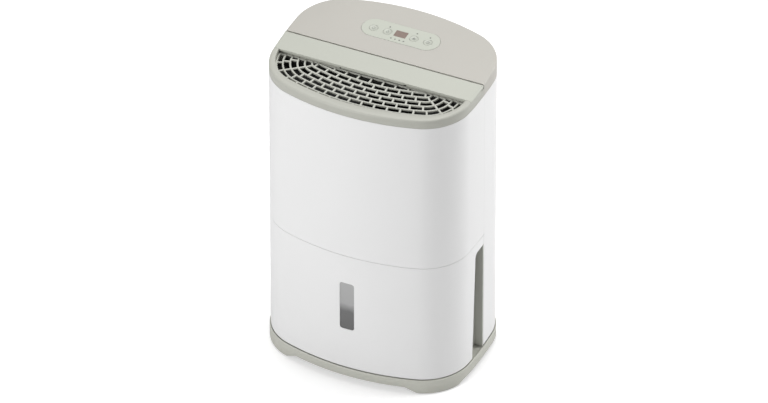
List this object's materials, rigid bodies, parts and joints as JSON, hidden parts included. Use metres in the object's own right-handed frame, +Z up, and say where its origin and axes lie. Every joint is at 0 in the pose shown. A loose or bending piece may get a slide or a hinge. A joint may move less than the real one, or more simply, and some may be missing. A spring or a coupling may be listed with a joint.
{
  "type": "dehumidifier",
  "caption": "Upright room dehumidifier with a pull-out water tank, curved top outlet grille, fold-up carrying handle and oval control panel.",
  "frame": {"origin": "centre of the footprint, on the floor under the rubber feet", "axes": "+X to the right seen from the front, -Y towards the front with the tank, +Z up"},
  "size_m": [0.374, 0.294, 0.5946],
  "materials": {
    "white_plastic": "satin moulded ABS",
    "grey_green_plastic": "fine matt grain",
    "cover_plastic": "fine matt grain",
    "dark_plastic": "matt",
    "rubber": "matt",
    "sheet_steel": "galvanised",
    "steel": "plain",
    "overlay_film": "satin film",
    "display_lens": "smoked lens",
    "led_lens": "diffusing",
    "circuit_board": "solder resist",
    "filter_net": "woven nylon net",
    "tank_plastic": "translucent polypropylene",
    "window_lens": "smoked lens",
    "float_foam": "sealed foam",
    "red_plastic": "matt",
    "compressor_paint": "satin enamel",
    "aluminium_fins": "mill finish",
    "copper": "drawn tube",
    "impeller_plastic": "matt",
    "capacitor_can": "satin"
  },
  "bodies": {
    "cabinet": {"base": "grey_green_plastic", "rubber_feet": "rubber", "chassis_wall": "sheet_steel", "mid_deck": "sheet_steel", "grip_channel_right": "dark_plastic", "grip_channel_left": "dark_plastic", "front_shell": "white_plastic", "rear_shell": "white_plastic", "top_collar": "grey_green_plastic", "outlet_grille": "grey_green_plastic", "outlet_duct": "dark_plastic", "handle_pins": "steel", "control_cover": "cover_plastic", "control_overlay": "overlay_film", "display_window": "display_lens", "indicator_leds": "led_lens", "control_board": "circuit_board", "tank_switch": "dark_plastic", "compressor": "compressor_paint", "compressor_mounts": "rubber", "evaporator": "aluminium_fins", "condenser": "aluminium_fins", "coil_brackets": "sheet_steel", "refrigerant_pipes": "copper", "capillary_tube": "copper", "filter_drier": "copper", "fan_scroll": "dark_plastic", "fan_motor": "steel", "motor_bracket": "sheet_steel", "drip_tray": "dark_plastic", "humidity_sensor": "circuit_board", "run_capacitor": "capacitor_can", "power_board": "circuit_board", "cord_gland": "rubber", "drain_spout": "grey_green_plastic", "case_screws": "steel"},
    "tank": {"tank_bucket": "tank_plastic", "tank_front": "white_plastic", "tank_window": "window_lens", "tank_lid": "tank_plastic"},
    "tank_bail": {"tank_handle": "grey_green_plastic"},
    "float_arm": {"tank_float": "float_foam"},
    "lift_handle": {"carry_handle": "grey_green_plastic"},
    "filter_cassette": {"inlet_grille": "white_plastic", "filter_frame": "dark_plastic", "filter_mesh": "filter_net"},
    "bung": {"drain_bung": "rubber"},
    "fan_rotor": {"fan_impeller": "impeller_plastic", "fan_shaft": "steel"},
    "key_power": {"button_power": "overlay_film"},
    "key_humidity": {"button_humidity": "overlay_film"},
    "key_fan": {"button_fan": "overlay_film"},
    "key_timer": {"button_timer": "overlay_film"},
    "plunger": {"switch_plunger": "red_plastic"}
  },
  "joints": [
    {"name": "tank_slide", "type": "slide", "parent": "cabinet", "child": "tank", "axis": [0, -1, 0], "range_m": [0, 0.2]},
    {"name": "tank_bail_swing", "type": "hinge", "parent": "tank", "child": "tank_bail", "pos_m": [0, -0.03, 0.221], "axis": [-1, 0, 0], "range_deg": [0, 90]},
    {"name": "float_swing", "type": "hinge", "parent": "tank", "child": "float_arm", "pos_m": [-0.095, -0.02, 0.202], "axis": [-1, 0, 0], "range_deg": [0, 18]},
    {"name": "lift_handle_swing", "type": "hinge", "parent": "cabinet", "child": "lift_handle", "pos_m": [0, 0.00203, 0.58211], "axis": [-1, 0, 0], "range_deg": [0, 85]},
    {"name": "filter_pull", "type": "slide", "parent": "cabinet", "child": "filter_cassette", "axis": [0, 1, 0], "range_m": [0, 0.04]},
    {"name": "bung_pull", "type": "slide", "parent": "cabinet", "child": "bung", "axis": [0, 1, 0], "range_m": [0, 0.03]},
    {"name": "fan_spin", "type": "hinge", "parent": "cabinet", "child": "fan_rotor", "pos_m": [0, -0.07, 0.4], "axis": [0, 1, 0], "continuous": true},
    {"name": "power_press", "type": "slide", "parent": "cabinet", "child": "key_power", "axis": [0, 0.0593, -0.9982], "range_m": [0, 0.001], "stiffness_N_per_m": 1200},
    {"name": "humidity_press", "type": "slide", "parent": "cabinet", "child": "key_humidity", "axis": [0, 0.0593, -0.9982], "range_m": [0, 0.001], "stiffness_N_per_m": 1200},
    {"name": "fan_press", "type": "slide", "parent": "cabinet", "child": "key_fan", "axis": [0, 0.0593, -0.9982], "range_m": [0, 0.001], "stiffness_N_per_m": 1200},
    {"name": "timer_press", "type": "slide", "parent": "cabinet", "child": "key_timer", "axis": [0, 0.0593, -0.9982], "range_m": [0, 0.001], "stiffness_N_per_m": 1200},
    {"name": "plunger_press", "type": "slide", "parent": "cabinet", "child": "plunger", "axis": [0, 1, 0], "range_m": [0, 0.002], "stiffness_N_per_m": 300}
  ]
}
